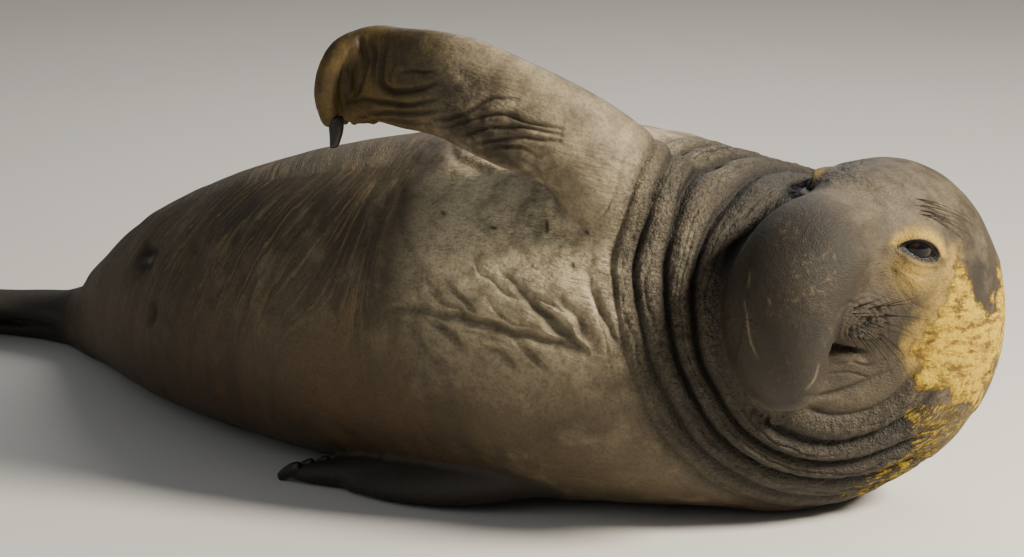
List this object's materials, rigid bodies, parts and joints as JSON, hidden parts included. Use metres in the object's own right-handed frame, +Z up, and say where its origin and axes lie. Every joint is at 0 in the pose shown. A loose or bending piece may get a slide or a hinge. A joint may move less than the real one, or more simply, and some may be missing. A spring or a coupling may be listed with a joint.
{
  "type": "elephant seal model",
  "caption": "Life-size still model of a young male elephant seal lying on its side, upper foreflipper raised and bent at the wrist, head turned back over the belly.",
  "frame": {"origin": "on the floor under the chest, on the flat where the chest rests", "axes": "+Z up; +X along the body from the hind flippers to the shoulders; the belly faces -Y and the face looks nearly along -Y"},
  "size_m": [2.7827, 1.0584, 0.9697],
  "materials": {
    "skin": "short flat hair over grey-brown skin",
    "dark_skin": "nearly bare dark flipper skin",
    "eye": "wet, near black",
    "claw": "dark horn"
  },
  "bodies": {
    "root": {"head": "skin", "neck": "skin", "chest": "skin", "abdomen": "skin", "rump": "skin", "foreflipper_right": "skin", "hand_right": "dark_skin", "foreflipper_left": "dark_skin", "hindflipper_left": "dark_skin", "hindflipper_right": "dark_skin", "tail": "dark_skin", "eye_left": "eye", "eye_right": "eye", "claw_left_1": "claw", "claw_left_2": "claw", "claw_left_3": "claw", "claw_left_4": "claw", "claw_left_5": "claw", "claw_right_1": "claw", "claw_right_2": "claw", "claw_right_3": "claw", "claw_right_4": "claw", "claw_right_5": "claw"}
  },
  "joints": []
}
